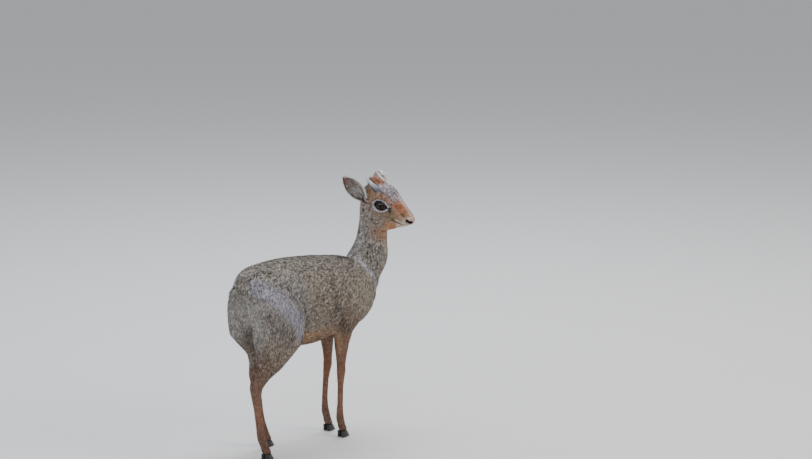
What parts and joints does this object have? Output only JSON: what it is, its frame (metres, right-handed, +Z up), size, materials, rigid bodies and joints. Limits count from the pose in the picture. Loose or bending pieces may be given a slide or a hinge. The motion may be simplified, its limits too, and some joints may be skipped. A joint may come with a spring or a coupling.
{
  "type": "dik dik",
  "caption": "Life-size still model of a dik-dik, a dwarf antelope with short horns, standing on slender legs with its head turned to its right.",
  "frame": {"origin": "on the floor, under the middle of the bounding box", "axes": "+X the way the trunk points, +Y the animal's left, +Z up"},
  "size_m": [0.451, 0.1782, 0.5385],
  "materials": {
    "grizzled_coat": "short grizzled grey-brown fur",
    "tawny_coat": "short tawny fur",
    "eye": "wet dark eye",
    "horn": "satin ringed horn",
    "hoof": "satin dark horn"
  },
  "bodies": {
    "root": {"cannon_fore_left": "tawny_coat", "cannon_fore_right": "tawny_coat", "cannon_hind_left": "tawny_coat", "cannon_hind_right": "tawny_coat", "ear_left": "tawny_coat", "ear_right": "tawny_coat", "eye_left": "eye", "eye_right": "eye", "forearm_left": "tawny_coat", "forearm_right": "tawny_coat", "head": "tawny_coat", "hoof_fore_left_inner": "hoof", "hoof_fore_left_outer": "hoof", "hoof_fore_right_inner": "hoof", "hoof_fore_right_outer": "hoof", "hoof_hind_left_inner": "hoof", "hoof_hind_left_outer": "hoof", "hoof_hind_right_inner": "hoof", "hoof_hind_right_outer": "hoof", "horn_left": "horn", "horn_right": "horn", "neck": "grizzled_coat", "pastern_fore_left": "tawny_coat", "pastern_fore_right": "tawny_coat", "pastern_hind_left": "tawny_coat", "pastern_hind_right": "tawny_coat", "shank_left": "tawny_coat", "shank_right": "tawny_coat", "tail": "grizzled_coat", "thigh_left": "grizzled_coat", "thigh_right": "grizzled_coat", "torso": "grizzled_coat"}
  },
  "joints": []
}
